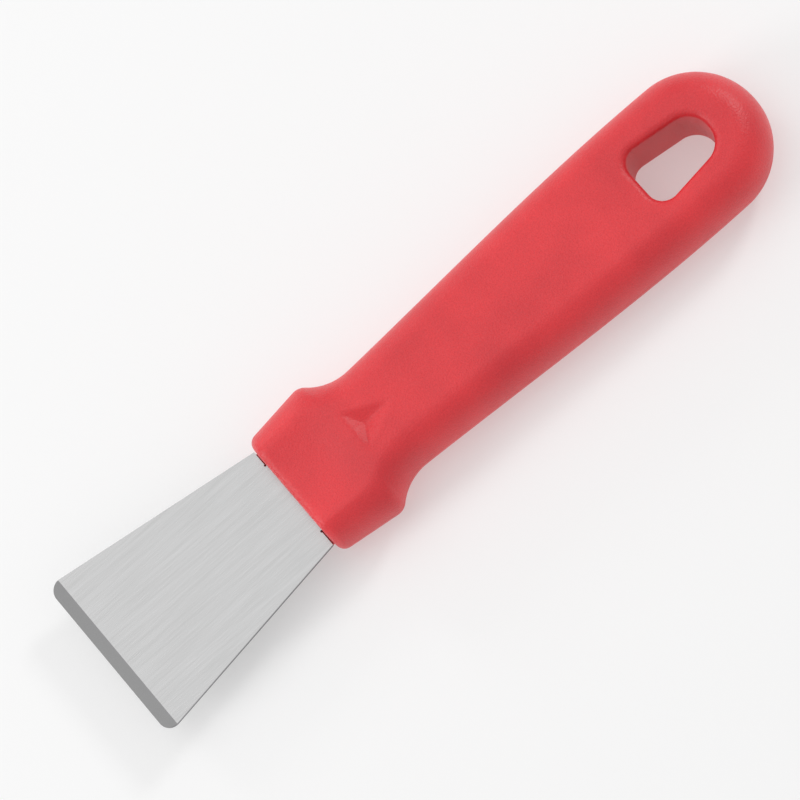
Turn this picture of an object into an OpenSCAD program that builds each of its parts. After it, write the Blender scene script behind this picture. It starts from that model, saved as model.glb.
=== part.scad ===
// Hive tool: a flat bevelled scraping blade whose tang is moulded into a plastic handle.
// The tool lies flat. +X points to the working edge, +Z is up on the bevel's side, and Y = 0 is
// the plane of symmetry. The origin is on the surface it lies on, at the middle of its length.

/* [Blade] */
// Width at the working edge, before its corners are rounded
blade_w = 40.4; // [38:0.2:44]
// Width at the shoulders, in front of the handle
root_w = 25.8; // [25:0.2:28]
// Length from the handle's front face to the working edge
blade_len = 50.8; // [42:0.2:60]
// Thickness of the steel plate
steel_t = 1; // [0.8:0.1:1.4]
// Length of the ground bevel behind the working edge
bevel_len = 2.8; // [2:0.1:4]
// Thickness left at the working edge
edge_t = 0.15; // [0.1:0.05:0.3]
// Radius of the two front corners
corner_r = 2.6; // [1.5:0.1:3.5]
// Gap between the shoulders and the handle's front face
shoulder_gap = 0.4; // [0.4:0.1:0.8]
// How far the land of plastic under the plate laps the shoulders
land_lap = 0.3; // [0.2:0.1:1]
// Thickness of that land
land_t = 1; // [0.8:0.1:2]

/* [Tang] */
// Width of the tang where it enters the handle
tang_w = 18.4; // [16:0.2:20]
// Length of the tang inside the handle
tang_len = 56; // [50:1:60]
// Width of the tang's round tail
tail_w = 12; // [10:0.5:13]
// Diameter of the two lock holes
lock_d = 6; // [4:0.5:7]
// Radius of the relief notch at each shoulder's inner corner
notch_r = 0.25; // [0.2:0.05:0.4]

/* [Handle] */
// Length from the front face to the round end
handle_len = 124.2; // [120:0.2:130]
// Thickness between the two broad faces
handle_t = 17; // [15:0.5:18]
// Half width at the front face, before its corners are rounded
front_half_w = 14.95; // [14.5:0.05:15.5]
// Half width at the neck, its narrowest place
neck_half_w = 12.55; // [12:0.05:13]
// Half width where the round end begins
end_half_w = 15.95; // [15:0.05:16.5]
// Length of the round end
end_run = 15.6; // [14:0.1:17]
// Plan width of the rounded sides
side_run = 7; // [5:0.25:8]
// Radius of the front corners in plan
front_corner_r = 1.9; // [1.5:0.1:3.5]
// Radius of the front face's upper and lower edges
front_edge_r = 1.75; // [1:0.25:2.5]

/* [Bolster] */
// Distance from the front face to the middle of the shoulder's round
shoulder_u = 14; // [13:0.1:15]
// Widening of each side for each millimetre of length, in front of the shoulder
flare = 0.13; // [0.08:0.01:0.16]
// Radius of the shoulder
shoulder_r = 3.5; // [2.5:0.25:4.5]
// Radius of the sweep from the shoulder into the neck
sweep_r = 11.5; // [10:0.5:13]
// Depth of the hollow along the middle of the bolster
hollow_d = 1.2; // [0:0.1:1.5]
// Depth of the thumb scoop
scoop_d = 1.8; // [0.5:0.1:2]

/* [Hanging hole] */
// Length of the hole along the handle
hole_len = 18.2; // [14:0.2:20]
// Width of the hole at its end nearer the blade
hole_w = 13.2; // [10:0.2:13.6]
// Width of the hole at its end nearer the handle's end
hole_end_w = 10.8; // [9:0.2:11.2]
// Distance from the hole to the handle's round end
hole_rim = 11.5; // [10:0.25:13]
// Radius of the two corners nearer the blade
hole_corner_r = 3.7; // [3:0.1:4.4]

/* [Hidden] */

total_len = blade_len + handle_len;
edge_x = total_len / 2;
face_x = edge_x - blade_len;
end_x = -total_len / 2;
half_t = handle_t / 2;
plate_z = half_t - steel_t / 2;

// Places along the handle are distances u from its front face, so x = face_x - u.

// Shoulder round and neck sweep are two arcs that touch each other
shoulder_v = front_half_w + flare * shoulder_u - shoulder_r * sqrt(1 + flare * flare);
sweep_v = neck_half_w + sweep_r;
arc_reach = shoulder_r + sweep_r;
neck_u = shoulder_u + sqrt(arc_reach * arc_reach - pow(sweep_v - shoulder_v, 2));
arc_join_u = shoulder_u + (neck_u - shoulder_u) * shoulder_r / arc_reach;
flare_end_u = shoulder_u - shoulder_r * sin(atan(flare));

// The tang is parallel for a first stretch and has its lock holes at these places
tang_straight = 12;
lock_places = [14, 34];

// Half length of the flat stretch at the hole's end nearer the handle's end
hole_end_flat = 0.4;

// The grip leaves the neck with one slope and meets the round end with another
grip_slope = 0.05;
end_slope = -0.02;
grip_u = neck_u + sweep_r * sin(atan(grip_slope));
grip_v = sweep_v - sweep_r * cos(atan(grip_slope));
cap_u = handle_len - end_run;

// Thumb scoop: a steep wall towards the blade and two side walls that run to a point
scoop_top_u = 18;
scoop_deep_u = 21.3;
scoop_tip_u = 29;
scoop_half_w = 3.5;

// The hollow fades out between these two places and is this wide on each side
hollow_full_u = 9;
hollow_end_u = 18;
hollow_half_w = 10.5;

// The land runs on from the handle's front face, and its ends are set in from the shoulders' ends
land_len = shoulder_gap + land_lap;
land_side = 0.4;

// Smooth step from 0 at a to 1 at b
function ease(a, b, q) =
    let (k = min(1, max(0, (q - a) / (b - a))))
    k * k * (3 - 2 * k);

// Cubic through two heights with two slopes, over a run
function cubic(v0, m0, v1, m1, run, k) =
    v0 * (2 * pow(k, 3) - 3 * k * k + 1) + m0 * run * (pow(k, 3) - 2 * k * k + k)
    + v1 * (3 * k * k - 2 * pow(k, 3)) + m1 * run * (pow(k, 3) - k * k);

// Half width of the handle in plan, without the rounding of its front corners
function plan_half_w(u) =
    u < flare_end_u ? front_half_w + flare * u
    : u < arc_join_u ? shoulder_v + sqrt(pow(shoulder_r, 2) - pow(u - shoulder_u, 2))
    : u < grip_u ? sweep_v - sqrt(pow(sweep_r, 2) - pow(u - neck_u, 2))
    : u < cap_u ? cubic(grip_v, grip_slope, end_half_w, end_slope, cap_u - grip_u,
                        (u - grip_u) / (cap_u - grip_u))
    : end_half_w * sqrt(max(0, 1 - pow((u - cap_u) / end_run, 2)));

// How far a quarter round of radius r is set back at distance q from its end
function set_back(r, q) = q < r ? r - sqrt(max(0, r * r - pow(r - q, 2))) : 0;

function half_w(u) = plan_half_w(u) - set_back(front_corner_r, u);

// Cosine of the angle between the handle's side and its length
function side_cos(u) = cos(atan((plan_half_w(u + 0.05) - plan_half_w(u - 0.05)) / 0.1));

// Distance from a point of the plan to the handle's outline
function inset(u, y) =
    u < cap_u ? (half_w(u) - abs(y)) * side_cos(u)
    : end_half_w * (1 - norm([y / end_half_w, (u - cap_u) / end_run]));

function hollow(u, y) =
    hollow_d * max(0, 1 - pow(y / hollow_half_w, 2)) * (1 - ease(hollow_full_u, hollow_end_u, u));

function scoop(u, y) =
    scoop_d * max(0, min((u - scoop_top_u) / (scoop_deep_u - scoop_top_u),
                         (scoop_tip_u - u) / (scoop_tip_u - scoop_deep_u) - abs(y) / scoop_half_w));

// Distance from the middle plane to a broad face without hollow or scoop, which the lower one is
function plain_h(u, y) =
    let (k = 1 - max(0, min(1, inset(u, y) / side_run)))
    sqrt(1 - k * k) * (half_t - set_back(front_edge_r, u));

function upper_h(u, y) = plain_h(u, y) - hollow(u, y) - scoop(u, y);

// Stations along the handle, close together at its front, scoop and round end
stations = concat(
    [for (a = [0 : 22.5 : 67.5]) front_corner_r * (1 - cos(a))],
    [for (u = [front_corner_r : 2.75 : 13.8]) u],
    [for (u = [14.5 : 1.15 : 30]) u],
    [for (u = [33 : 6.3 : 108]) u],
    [for (a = [7 : 7.5 : 86]) cap_u + end_run * sin(a)]);

// One ring of the skin: the upper face from side to side, then the lower face back
side_steps = 14;
function ring_y(u, j) = half_w(u) * sin(-90 + 180 * j / side_steps);
function ring(u) = concat(
    [for (j = [0 : side_steps])
        let (y = ring_y(u, j))
        [face_x - u, y, half_t + (j == 0 || j == side_steps ? 0 : upper_h(u, y))]],
    [for (j = [side_steps - 1 : -1 : 1])
        let (y = ring_y(u, j))
        [face_x - u, y, half_t - plain_h(u, y)]]);

module skin() {
    rings = len(stations);
    sides = 2 * side_steps;
    tip = rings * sides;
    points = concat([for (u = stations) each ring(u)], [[end_x, 0, half_t]]);
    walls = [for (i = [0 : rings - 2], j = [0 : sides - 1])
        let (a = i * sides, b = a + sides, k = (j + 1) % sides)
        each [[a + j, b + k, a + k], [a + j, b + j, b + k]]];
    front = [[for (j = [0 : sides - 1]) j]];
    last = (rings - 1) * sides;
    cap = [for (j = [0 : sides - 1]) [last + j, tip, last + (j + 1) % sides]];
    polyhedron(points, concat(front, walls, cap), convexity = 4);
}

// Points along an arc, from one angle to another
arc_steps = 12;
function arc(centre, r, from, to) =
    [for (k = [0 : arc_steps])
        let (a = from + (to - from) * k / arc_steps)
        centre + r * [cos(a), sin(a)]];

// Outline with the same shape on both sides of Y = 0; its first point is on Y = 0
module two_sided(half) {
    polygon(concat(half, [for (i = [len(half) - 1 : -1 : 1]) [half[i].x, -half[i].y]]));
}

// One side of the tang, from the tip of its tail to the end of its parallel stretch
tail_x = face_x - tang_len + tail_w / 2;
tang_side = concat(arc([tail_x, 0], tail_w / 2, 180, 90), [[face_x - tang_straight, tang_w / 2]]);

module lock_holes() {
    for (u = lock_places) translate([face_x - u, 0]) circle(d = lock_d, $fn = 48);
}

// Part of the tang that the handle is moulded round; it runs past the handle's front face
module pocket_plan() {
    difference() {
        two_sided(concat(tang_side, [[face_x + shoulder_gap, tang_w / 2]]));
        lock_holes();
    }
}

// Outline of the whole plate: tang, relief notches, shoulders, splayed sides and rounded corners
module plate_plan() {
    shoulder_x = face_x + shoulder_gap;
    splay = atan((blade_w - root_w) / 2 / (edge_x - shoulder_x));
    corner_y = blade_w / 2 - corner_r * (tan(splay) + 1 / cos(splay));
    difference() {
        two_sided(concat(
            tang_side,
            arc([shoulder_x, tang_w / 2], notch_r, 180, 450),
            [[shoulder_x, root_w / 2]],
            arc([edge_x - corner_r, corner_y], corner_r, 90 + splay, 0)));
        lock_holes();
    }
}

// Wedge that is ground away to leave the bevel on the upper face
module bevel_waste() {
    over = 1;
    fall = (steel_t - edge_t) / bevel_len;
    translate([0, blade_w / 2 + over, 0])
        rotate([90, 0, 0])
            linear_extrude(blade_w + 2 * over)
                polygon([[edge_x - bevel_len, plate_z + steel_t],
                         [edge_x + over, plate_z + edge_t - fall * over],
                         [edge_x + over, plate_z + steel_t + over],
                         [edge_x - bevel_len, plate_z + steel_t + over]]);
}

module blade() {
    color("silver")
        difference() {
            translate([0, 0, plate_z])
                linear_extrude(steel_t) plate_plan();
            bevel_waste();
        }
}

// The hole is a tapered slot with a round at each corner
module hole_plan() {
    near_x = end_x + hole_rim + hole_len;
    far_x = end_x + hole_rim;
    far_r = hole_end_w / 2 - hole_end_flat;
    near_c = [near_x - hole_corner_r, hole_w / 2 - hole_corner_r];
    far_c = [far_x + far_r, hole_end_flat];
    // Angle between the slot's side and its length
    lean = atan2(near_c.y - far_c.y, near_c.x - far_c.x)
        + asin((hole_corner_r - far_r) / norm(near_c - far_c));
    two_sided(concat(
        [[far_x, 0]],
        arc(far_c, far_r, 180, 90 + lean),
        arc(near_c, hole_corner_r, 90 + lean, 0)));
}

// Land under the plate's shoulders, which closes the shoulder gap from below
module land() {
    land_w = root_w - 2 * land_side;
    translate([face_x - land_len, -land_w / 2, plate_z - land_t])
        cube([2 * land_len, land_w, land_t]);
}

module handle() {
    color([0.85, 0.29, 0.31])
        difference() {
            union() {
                skin();
                land();
            }
            translate([0, 0, -1]) linear_extrude(handle_t + 2) hole_plan();
            translate([0, 0, plate_z]) linear_extrude(steel_t) pocket_plan();
        }
}

blade();
handle();
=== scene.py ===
"""The looks of the hive tool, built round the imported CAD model.

The shapes are worked out in millimetres, in the CAD frame: +X points to the working edge, +Z is up
and the tool lies on Z = 0. A mesh is scaled to metres when it is made.
"""

import math

import bmesh
import bpy
import numpy as np
from mathutils import Matrix, Vector


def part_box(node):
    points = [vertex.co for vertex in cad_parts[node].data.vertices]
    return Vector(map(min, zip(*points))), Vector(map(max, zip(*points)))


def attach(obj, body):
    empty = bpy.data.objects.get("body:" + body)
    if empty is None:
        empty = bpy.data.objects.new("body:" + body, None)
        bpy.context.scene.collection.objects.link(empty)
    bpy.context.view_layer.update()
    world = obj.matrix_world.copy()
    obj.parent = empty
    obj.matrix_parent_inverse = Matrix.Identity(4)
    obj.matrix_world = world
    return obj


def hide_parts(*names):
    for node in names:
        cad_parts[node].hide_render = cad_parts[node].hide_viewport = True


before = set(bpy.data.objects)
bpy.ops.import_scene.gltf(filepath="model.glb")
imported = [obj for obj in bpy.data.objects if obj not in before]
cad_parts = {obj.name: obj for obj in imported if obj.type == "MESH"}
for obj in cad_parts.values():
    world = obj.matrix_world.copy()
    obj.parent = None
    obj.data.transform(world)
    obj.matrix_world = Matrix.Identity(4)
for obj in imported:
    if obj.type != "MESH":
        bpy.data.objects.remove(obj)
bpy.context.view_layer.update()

MM = 0.001

# ---- Sizes, from the frame ----------------------------------------------------------------

handle_low, handle_high = (np.array(corner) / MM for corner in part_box("handle"))
blade_low, blade_high = (np.array(corner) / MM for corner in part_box("blade"))
LAND_LEN = 0.7  # plastic under the shoulder gap, forward of the handle's front face
FACE_X = handle_high[0] - LAND_LEN  # the handle's front face
END_X = handle_low[0]  # tip of the handle's round end
EDGE_X = blade_high[0]  # the blade's working edge
HALF_T = (handle_low[2] + handle_high[2]) / 2  # height of the middle plane
STEEL_T = blade_high[2] - blade_low[2]
HANDLE_LEN = FACE_X - END_X

# ---- The handle's shape -------------------------------------------------------------------
# Places along the handle are distances u from its front face, and v is the distance from Y = 0.

FRONT_HALF_W = 14.95
FLARE = 0.13
SHOULDER_U = 14.0
SHOULDER_R = 3.5
NECK_HALF_W = 12.55
SWEEP_R = 11.5
GRIP_SLOPE = 0.05
END_HALF_W = 15.95
END_SLOPE = -0.02
END_RUN = 15.6
SIDE_RUN = 7.0  # plan width of the rounded sides
SHOULDER_BLEND = 6.0  # reach of the blend between bolster, shoulder and neck
SIDE_POWER = 2.0  # 2 is an ellipse, more is squarer
FRONT_R = 1.9  # radius round the front face

HOLLOW_D = 1.2  # depth of the hollow along the middle of the bolster
HOLLOW_HALF_W = 10.5
HOLLOW_FADE = (9.0, 18.0)  # where it begins to fade out, and where it has gone

SCOOP_D = 1.9  # depth at which its flat walls would meet, before they are rounded
SCOOP_TOP_U = 18.0
SCOOP_DEEP_U = 21.3
SCOOP_TIP_U = 29.0
SCOOP_HALF_W = 3.5
SCOOP_SOFT = 0.3  # how far the scoop's ridges are blended, in mm of depth
SCOOP_KEEL = 0.7  # rounding of its middle crease, in mm of width

HOLE_LEN = 18.2
HOLE_W = 13.3
HOLE_END_W = 10.9
HOLE_TIP = 11.5  # plastic left at the round end
HOLE_NEAR_R = 3.7
HOLE_END_FLAT = 0.4
HOLE_RIM_R = 1.6

LAND_T = 1.0  # thickness and half width of the land under the plate's shoulders
LAND_HALF_W = 12.5
PARTING_H = 0.06  # height and half width of the hairline left where the mould halves meet
PARTING_HALF_W = 0.16

SHOULDER_V = FRONT_HALF_W + FLARE * SHOULDER_U - SHOULDER_R * math.hypot(1, FLARE)
SWEEP_V = NECK_HALF_W + SWEEP_R
ARC_REACH = SHOULDER_R + SWEEP_R
NECK_U = SHOULDER_U + math.sqrt(ARC_REACH**2 - (SWEEP_V - SHOULDER_V) ** 2)
ARC_JOIN_U = SHOULDER_U + (NECK_U - SHOULDER_U) * SHOULDER_R / ARC_REACH
FLARE_END_U = SHOULDER_U - SHOULDER_R * math.sin(math.atan(FLARE))
GRIP_U = NECK_U + SWEEP_R * math.sin(math.atan(GRIP_SLOPE))
GRIP_V = SWEEP_V - SWEEP_R * math.cos(math.atan(GRIP_SLOPE))
CAP_U = HANDLE_LEN - END_RUN


def ease(a, b, q):
    """Smooth step from 0 at a to 1 at b."""
    k = np.clip((q - a) / (b - a), 0, 1)
    return k * k * (3 - 2 * k)


def cubic(v0, m0, v1, m1, run, k):
    """Cubic through two heights with two slopes, over a run."""
    return (
        v0 * (2 * k**3 - 3 * k**2 + 1)
        + m0 * run * (k**3 - 2 * k**2 + k)
        + v1 * (3 * k**2 - 2 * k**3)
        + m1 * run * (k**3 - k**2)
    )


def root(q):
    """Square root, and 0 for anything negative."""
    return np.sqrt(np.maximum(q, 0))


def half_width(u):
    """Half width of the handle in plan, without the rounding of its front corners."""
    grip_run = CAP_U - GRIP_U
    grip = cubic(GRIP_V, GRIP_SLOPE, END_HALF_W, END_SLOPE, grip_run, (u - GRIP_U) / grip_run)
    return np.select(
        [u < FLARE_END_U, u < ARC_JOIN_U, u < GRIP_U, u < CAP_U],
        [
            FRONT_HALF_W + FLARE * u,
            SHOULDER_V + root(SHOULDER_R**2 - (u - SHOULDER_U) ** 2),
            SWEEP_V - root(SWEEP_R**2 - (u - NECK_U) ** 2),
            grip,
        ],
        END_HALF_W * root(1 - ((u - CAP_U) / END_RUN) ** 2),
    )


def even_half_width(u):
    """Half width averaged over a stretch of the handle, which evens out the shoulder."""
    samples = 9
    reach = np.linspace(-SHOULDER_BLEND, SHOULDER_BLEND, samples)
    weight = 1 - np.abs(reach) / (SHOULDER_BLEND + 1)
    near = [w * half_width(np.clip(u + d, 0, CAP_U)) for d, w in zip(reach, weight)]
    return sum(near) / weight.sum()


def inset(u, v):
    """Distance from a point of the plan in to the handle's side or round end."""
    edge = half_width(u)
    before_cap = 1 - ease(CAP_U - 2 * SHOULDER_BLEND, CAP_U - SHOULDER_BLEND, u)
    inner = ease(0, SIDE_RUN, edge - v) * before_cap
    step = 0.05
    slope = (half_width(u + step) - half_width(u - step)) / (2 * step)
    even_slope = (even_half_width(u + step) - even_half_width(u - step)) / (2 * step)
    width = edge + (even_half_width(u) - edge) * inner
    side = (width - v) / np.hypot(1, slope + (even_slope - slope) * inner)
    cap = END_HALF_W * (1 - np.hypot(v / END_HALF_W, (u - CAP_U) / END_RUN))
    return np.where(u < CAP_U, side, cap)


def hollow(u, v):
    """Depth of the shallow hollow across the bolster."""
    return HOLLOW_D * np.maximum(0, 1 - (v / HOLLOW_HALF_W) ** 2) * (1 - ease(*HOLLOW_FADE, u))


def soft_min(a, b, r):
    """The smaller of two values, with the crease between them rounded."""
    k = np.clip(0.5 + (b - a) / (2 * r), 0, 1)
    return b + (a - b) * k - r * k * (1 - k)


def scoop(u, v):
    """Depth of the three-sided thumb scoop."""
    wall = SCOOP_D * (u - SCOOP_TOP_U) / (SCOOP_DEEP_U - SCOOP_TOP_U)
    run_out = (SCOOP_TIP_U - u) / (SCOOP_TIP_U - SCOOP_DEEP_U)
    lean = SCOOP_D * (run_out - np.hypot(v, SCOOP_KEEL) / SCOOP_HALF_W)
    depth = soft_min(wall, lean, SCOOP_SOFT)
    return -soft_min(-depth, 0, SCOOP_SOFT)


def hole_distance(u, v):
    """Signed distance to the hanging hole's outline in plan: negative inside the hole."""
    far_u = HANDLE_LEN - HOLE_TIP
    near_u = far_u - HOLE_LEN
    far_r = HOLE_END_W / 2 - HOLE_END_FLAT
    near_c = np.array([near_u + HOLE_NEAR_R, HOLE_W / 2 - HOLE_NEAR_R])
    far_c = np.array([far_u - far_r, HOLE_END_FLAT])
    gap = far_c - near_c
    lean = math.atan2(gap[1], gap[0]) + math.asin((far_r - HOLE_NEAR_R) / math.hypot(*gap))
    # Directions outward, square to the slot's side, and along it from the near round to the far one
    side = np.array([-math.sin(lean), math.cos(lean)])
    along = np.array([side[1], -side[0]])

    def from_round(centre, r, outward):
        du, dv = u - centre[0], v - centre[1]
        beyond = (du * outward >= 0) & (dv >= 0)
        past_side = (du * along[0] + dv * along[1]) * outward >= 0
        return np.where(beyond & past_side, np.hypot(du, dv) - r, -np.inf)

    flat = np.maximum(
        np.maximum(near_u - u, u - far_u),
        (u - near_c[0]) * side[0] + (v - near_c[1]) * side[1] - HOLE_NEAR_R,
    )
    rounds = np.maximum(from_round(near_c, HOLE_NEAR_R, -1), from_round(far_c, far_r, 1))
    return np.maximum(flat, rounds)


def round_max(a, b, r):
    """Where two solids meet, with the edge between their surfaces rounded to radius r."""
    a, b = a + r, b + r
    return np.minimum(np.maximum(a, b), 0) + np.hypot(np.maximum(a, 0), np.maximum(b, 0)) - r


def handle_field(x, y, z):
    """Distance from the handle's surface near it: negative inside the plastic."""
    u, v, h = FACE_X - x, np.abs(y), np.abs(z - HALF_T)
    e = np.maximum(0, 1 - inset(u, v) / SIDE_RUN)
    sunk = np.where(z > HALF_T, hollow(u, v) + scoop(u, v), 0)  # the lower face is plain
    q = (h + sunk) / HALF_T
    size = np.maximum((e**SIDE_POWER + q**SIDE_POWER) ** (1 / SIDE_POWER), 1e-6)
    power = SIDE_POWER - 1
    steep = np.hypot((e / size) ** power / SIDE_RUN, (q / size) ** power / HALF_T)
    parting = PARTING_H * np.maximum(0, 1 - h / PARTING_HALF_W) * (u > FRONT_R)
    body = round_max((size - 1) / steep - parting, -u, FRONT_R)
    return round_max(body, -hole_distance(u, v), HOLE_RIM_R)


# ---- Meshes -------------------------------------------------------------------------------


def surface_net(field, xs, ys, zs):
    """Points and quads of the surface where field is 0, with one point for each cell it crosses."""
    grid = np.meshgrid(xs, ys, zs, indexing="ij")
    values = field(*grid)
    inside = values < 0
    cells = tuple(n - 1 for n in values.shape)
    total = np.zeros(cells + (3,))
    count = np.zeros(cells)
    crossings = []
    for axis in range(3):
        low = [slice(None)] * 3
        high = [slice(None)] * 3
        low[axis], high[axis] = slice(None, -1), slice(1, None)
        low, high = tuple(low), tuple(high)
        crossed = np.argwhere(inside[low] != inside[high])
        at = tuple(crossed.T)
        a, b = values[low][at], values[high][at]
        k = (a / (a - b))[:, None]
        p = np.stack([g[low][at] for g in grid], 1)
        q = np.stack([g[high][at] for g in grid], 1)
        point = p + k * (q - p)
        around = []
        first, second = (axis + 1) % 3, (axis + 2) % 3
        for da, db in ((0, 0), (1, 0), (1, 1), (0, 1)):
            cell = crossed.copy()
            cell[:, first] -= da
            cell[:, second] -= db
            around.append(cell)
            np.add.at(total, tuple(cell.T), point)
            np.add.at(count, tuple(cell.T), 1)
        crossings.append((around, inside[low][at]))
    used = count > 0
    number = np.full(cells, -1)
    number[used] = np.arange(used.sum())
    points = total[used] / count[used][:, None]
    quads = []
    for around, out_high in crossings:
        corners = np.stack([number[tuple(cell.T)] for cell in around], 1)
        quads.append(np.where(out_high[:, None], corners[:, ::-1], corners))
    return points, np.concatenate(quads)


def settle(points, field, rounds=4, step=0.01, reach=0.3):
    """Moves points along the field's slope until they lie on its surface."""
    shifts = np.eye(3) * step
    for _ in range(rounds):
        value = field(*points.T)
        rise = [field(*(points + d).T) - field(*(points - d).T) for d in shifts]
        slope = np.stack(rise, 1) / (2 * step)
        steep = np.maximum((slope**2).sum(1), 1e-6)
        points = points - slope * np.clip(value / steep, -reach, reach)[:, None]
    return points


def new_piece(name, points, faces, node):
    """A mesh object from points in millimetres, which stands for a CAD node."""
    mesh = bpy.data.meshes.new(name)
    mesh.from_pydata((np.asarray(points) * MM).tolist(), [], [list(map(int, f)) for f in faces])
    mesh.update()
    piece = bpy.data.objects.new(name, mesh)
    bpy.context.scene.collection.objects.link(piece)
    for polygon in mesh.polygons:
        polygon.use_smooth = True
    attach(piece, "root")
    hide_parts(node)
    return piece


def block(name, low, high):
    """A closed box between two corners, in millimetres."""
    mesh = bpy.data.meshes.new(name)
    shape = bmesh.new()
    bmesh.ops.create_cube(shape, size=MM)
    for vertex in shape.verts:
        for i in range(3):
            vertex.co[i] = (low[i] if vertex.co[i] < 0 else high[i]) * MM
    shape.to_mesh(mesh)
    shape.free()
    solid = bpy.data.objects.new(name, mesh)
    bpy.context.scene.collection.objects.link(solid)
    return solid


def apply_boolean(piece, other, operation):
    """Adds another solid to a piece or cuts it away, and keeps the result as the piece's mesh."""
    step = piece.modifiers.new(operation.lower(), "BOOLEAN")
    step.operation, step.solver, step.object = operation, "EXACT", other
    graph = bpy.context.evaluated_depsgraph_get()
    mesh = bpy.data.meshes.new_from_object(piece.evaluated_get(graph))
    piece.modifiers.clear()
    piece.data = mesh


def even_steps(low, high, step):
    """Evenly spaced places from low to high, about one step apart."""
    return np.linspace(low, high, int(round((high - low) / step)) + 1)


def make_handle():
    """The moulded handle, with its land and its tang pocket."""
    cell = 0.45
    fine_cell = 0.08  # height of the cells at the parting hairline
    margin = 0.9
    half_w = END_HALF_W + margin
    xs = even_steps(END_X - margin, FACE_X + margin, cell)
    ys = even_steps(-half_w, half_w, cell)
    seam = even_steps(-4 * fine_cell, 4 * fine_cell, fine_cell)
    below = even_steps(-HALF_T - margin, seam[0] - cell, cell)
    zs = HALF_T + np.concatenate([below, seam, -below[::-1]])
    points, quads = surface_net(handle_field, xs, ys, zs)
    points = settle(points, handle_field)
    handle = new_piece("moulded_handle", points, quads, "handle")
    plate_low = blade_low[2]
    land = block(
        "shoulder_land",
        (FACE_X - LAND_LEN, -LAND_HALF_W, plate_low - LAND_T),
        (FACE_X + LAND_LEN, LAND_HALF_W, plate_low),
    )
    apply_boolean(handle, land, "UNION")
    bpy.data.objects.remove(land)
    apply_boolean(handle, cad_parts["blade"], "DIFFERENCE")
    handle.data.set_sharp_from_angle(angle=math.radians(40))
    return handle


def dull_edges(node):
    """Takes the razor sharpness off a CAD part's edges, without touching its own mesh."""
    weld = node.modifiers.new("weld", "WELD")
    weld.merge_threshold = 0.001 * MM
    round_over = node.modifiers.new("round_over", "BEVEL")
    round_over.width = 0.06 * MM
    round_over.segments = 2
    round_over.limit_method = "ANGLE"
    round_over.angle_limit = math.radians(10)
    round_over.harden_normals = True


# ---- Materials ----------------------------------------------------------------------------


def new_material(name):
    """An empty node material: (material, function that adds a node, links, shader)."""
    material = bpy.data.materials.new(name)
    material.use_nodes = True
    tree = material.node_tree
    tree.nodes.clear()
    output = tree.nodes.new("ShaderNodeOutputMaterial")
    shader = tree.nodes.new("ShaderNodeBsdfPrincipled")
    tree.links.new(shader.outputs["BSDF"], output.inputs["Surface"])

    def add(kind, inputs=None, **settings):
        node = tree.nodes.new("ShaderNode" + kind)
        for key, value in settings.items():
            setattr(node, key, value)
        for key, value in (inputs or {}).items():
            if isinstance(value, bpy.types.NodeSocket):
                tree.links.new(value, node.inputs[key])
            else:
                node.inputs[key].default_value = value
        return node

    return material, add, tree.links, shader


def millimetres(add, stretch=(1, 1, 1)):
    """The place on the object in millimetres, stretched."""
    place = add("TexCoord")
    scale = [s / MM for s in stretch]
    return add("Mapping", {"Vector": place.outputs["Object"], "Scale": scale}).outputs[0]


def red_plastic():
    """Red moulded plastic with a fine grain, slightly mottled and slightly translucent."""
    material, add, links, shader = new_material("red_polypropylene")
    place = millimetres(add)
    grain = add("TexNoise", {"Vector": place, "Scale": 3.4, "Detail": 3.0, "Roughness": 0.6})
    cells = {"Vector": place, "Scale": 2.7, "Smoothness": 0.5}
    pebble = add("TexVoronoi", cells, feature="SMOOTH_F1")
    cloud = add("TexNoise", {"Vector": place, "Scale": 0.06, "Detail": 2.0})
    mottle = add("Math", {0: cloud.outputs["Fac"], 1: grain.outputs["Fac"]}, operation="ADD")
    spread = add("MapRange", {"Value": mottle.outputs[0], "From Min": 0.7, "From Max": 1.3})
    reds = {"Color1": (0.64, 0.026, 0.036, 1), "Color2": (0.84, 0.042, 0.052, 1)}
    tone = add("MixRGB", {"Fac": spread.outputs["Result"], **reds})
    links.new(tone.outputs["Color"], shader.inputs["Base Color"])
    gloss = add("MapRange", {"Value": grain.outputs["Fac"], "To Min": 0.30, "To Max": 0.46})
    links.new(gloss.outputs["Result"], shader.inputs["Roughness"])
    height = add("Math", {0: grain.outputs["Fac"], 1: pebble.outputs["Distance"]}, operation="ADD")
    bump = add("Bump", {"Height": height.outputs[0], "Strength": 1.0, "Distance": 0.06 * MM})
    links.new(bump.outputs["Normal"], shader.inputs["Normal"])
    shader.inputs["Subsurface Weight"].default_value = 0.12
    shader.inputs["Subsurface Radius"].default_value = (1.0, 0.25, 0.2)
    shader.inputs["Subsurface Scale"].default_value = 1.2 * MM
    shader.inputs["IOR"].default_value = 1.49
    shader.inputs["Specular IOR Level"].default_value = 0.56
    return material


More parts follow.
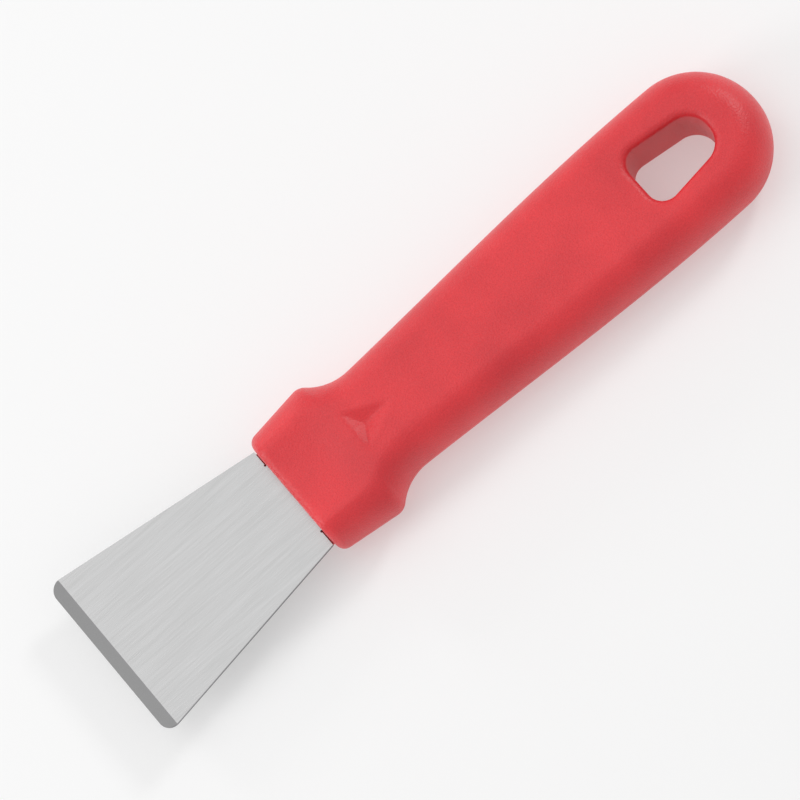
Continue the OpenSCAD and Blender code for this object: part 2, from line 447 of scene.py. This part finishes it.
def brushed_steel():
    """Steel brushed along X, with a coarser ground bevel whose darker tone is partly its grit and
    partly painted shade, and sheared edges painted dark as painted shade.
    """
    material, add, links, shader = new_material("brushed_stainless_steel")

    def drawn_noise(along, across, **settings):
        """Noise with one scale along the blade and another across it."""
        inputs = {key.capitalize(): value for key, value in settings.items()}
        return add("TexNoise", {"Vector": millimetres(add, (along, across, across)), **inputs})

    streak = drawn_noise(0.05, 7.0, detail=3.0, roughness=0.6)
    band = drawn_noise(0.015, 0.35, detail=2.0)
    scratch = drawn_noise(0.12, 16.0, detail=1.0)
    grit = drawn_noise(0.5, 4.5, detail=3.0, roughness=0.7)

    # The bevel's normal leans towards +X, and a sheared edge's lies nearly level
    bevel_lean, edge_level = 0.15, 0.6
    way = add("SeparateXYZ", {"Vector": add("NewGeometry").outputs["Normal"]})
    ground = add("Math", {0: way.outputs["X"], 1: bevel_lean}, operation="GREATER_THAN").outputs[0]
    upright = add("Math", {0: way.outputs["Z"]}, operation="ABSOLUTE").outputs[0]
    sheared = add("Math", {0: upright, 1: edge_level}, operation="LESS_THAN").outputs[0]

    def grey(low, high, amount):
        ends = {"Color1": (low, low, low, 1), "Color2": (high, high, high * 1.005, 1)}
        return add("MixRGB", {"Fac": amount, **ends}).outputs["Color"]

    mixed = add("Math", {0: streak.outputs["Fac"], 1: band.outputs["Fac"]}, operation="ADD")
    spread = add("MapRange", {"Value": mixed.outputs[0], "From Min": 0.7, "From Max": 1.3})
    face_tone = grey(0.46, 0.52, spread.outputs["Result"])
    # painted shade: the bevel's grey is set far below the face's, standing in for the darker light
    # it reflects; only its grit variation is its own finish
    bevel_grit_and_shade = grey(0.165, 0.315, grit.outputs["Fac"])
    # painted shade: faces whose normal lies nearly level are painted near black, standing in for
    # the shade on the plate's sides
    edge_painted_shade = (0.16, 0.16, 0.165, 1)
    tone = add("MixRGB", {"Fac": ground, "Color1": face_tone, "Color2": bevel_grit_and_shade})
    tone = add("MixRGB", {"Fac": sheared, "Color1": tone.outputs["Color"], "Color2": edge_painted_shade})
    links.new(tone.outputs["Color"], shader.inputs["Base Color"])
    gloss = add("MapRange", {"Value": streak.outputs["Fac"], "To Min": 0.20, "To Max": 0.32})
    bevel_rough = (0.55, 0.55, 0.55, 1)
    rough = add("MixRGB", {"Fac": ground, "Color1": gloss.outputs["Result"], "Color2": bevel_rough})
    links.new(rough.outputs["Color"], shader.inputs["Roughness"])
    height = add("Math", {0: streak.outputs["Fac"], 1: scratch.outputs["Fac"]}, operation="ADD")
    bump = add("Bump", {"Height": height.outputs[0], "Strength": 0.25, "Distance": 0.008 * MM})
    links.new(bump.outputs["Normal"], shader.inputs["Normal"])
    along = add("CombineXYZ", {"X": 1.0})
    links.new(along.outputs["Vector"], shader.inputs["Tangent"])
    shader.inputs["Anisotropic"].default_value = 0.5
    shader.inputs["Metallic"].default_value = 1.0
    return material


# ---- Stage, lights and camera -------------------------------------------------------------


def make_floor():
    """A plain pale floor, which glows a little so that it stays pale under the tool."""
    mesh = bpy.data.meshes.new("floor")
    half = 1.5
    corners = [(-half, -half, 0), (half, -half, 0), (half, half, 0), (-half, half, 0)]
    mesh.from_pydata(corners, [], [(0, 1, 2, 3)])
    floor = bpy.data.objects.new("floor", mesh)
    bpy.context.scene.collection.objects.link(floor)
    material, add, links, shader = new_material("pale_floor")
    shader.inputs["Base Color"].default_value = (0.6, 0.6, 0.6, 1)
    shader.inputs["Roughness"].default_value = 0.8
    shader.inputs["Emission Color"].default_value = (1, 1, 1, 1)
    shader.inputs["Emission Strength"].default_value = 0.35
    mesh.materials.append(material)


def soft_light(name, place, size, power):
    """A square soft light that shines at the tool."""
    data = bpy.data.lights.new(name, "AREA")
    data.shape = "SQUARE"
    data.size = size
    data.energy = power
    light = bpy.data.objects.new(name, data)
    bpy.context.scene.collection.objects.link(light)
    light.location = place
    light.rotation_euler = (-Vector(place)).to_track_quat("-Z", "Y").to_euler()


def make_world(strength):
    """An even white surround."""
    world = bpy.data.worlds.new("studio")
    world.use_nodes = True
    back = world.node_tree.nodes["Background"]
    back.inputs["Color"].default_value = (1, 1, 1, 1)
    back.inputs["Strength"].default_value = strength
    bpy.context.scene.world = world


CAMERA_TILT = 15.99  # from straight above, towards +Y
CAMERA_ROLL = 41.04  # of the tool's length in the picture
CAMERA_DISTANCE = 1.0
PICTURE_WIDTH = 0.1633  # width of the view at the tool
TARGET_ACROSS = -0.0063
TARGET_UP = -0.0042
SENSOR = 36.0


def make_camera():
    """A camera above the tool, at the angle from which it is meant to be seen first."""
    tilt, roll = math.radians(CAMERA_TILT), math.radians(CAMERA_ROLL)
    back = Vector((0, math.sin(tilt), math.cos(tilt)))
    length = Vector((1, 0, 0))
    width = Vector((0, math.cos(tilt), -math.sin(tilt)))
    right = -math.cos(roll) * length + math.sin(roll) * width
    up = -math.sin(roll) * length - math.cos(roll) * width
    data = bpy.data.cameras.new("camera")
    data.sensor_width = SENSOR
    data.lens = SENSOR * CAMERA_DISTANCE / PICTURE_WIDTH
    data.clip_start, data.clip_end = 0.05, 10
    camera = bpy.data.objects.new("camera", data)
    bpy.context.scene.collection.objects.link(camera)
    target = Vector((0, 0, HALF_T * MM)) + TARGET_ACROSS * right + TARGET_UP * up
    turn = Matrix((right, up, back)).transposed().to_4x4()
    camera.matrix_world = Matrix.Translation(target + CAMERA_DISTANCE * back) @ turn
    bpy.context.scene.camera = camera


make_camera()
make_floor()
make_world(0.56)
soft_light("overhead", (0.32, -0.38, 1.15), 1.2, 3.2)
soft_light("glint", (-1.05, -0.36, 0.72), 0.25, 3.8)
soft_light("rim", (0.25, -1.10, 0.45), 0.25, 1.2)
soft_light("fill", (0.95, -0.2, 0.5), 0.4, 2.8)
bpy.context.scene.view_settings.view_transform = "Standard"

handle = make_handle()
handle.data.materials.append(red_plastic())

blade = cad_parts["blade"]
blade.data.materials[0] = brushed_steel()
dull_edges(blade)
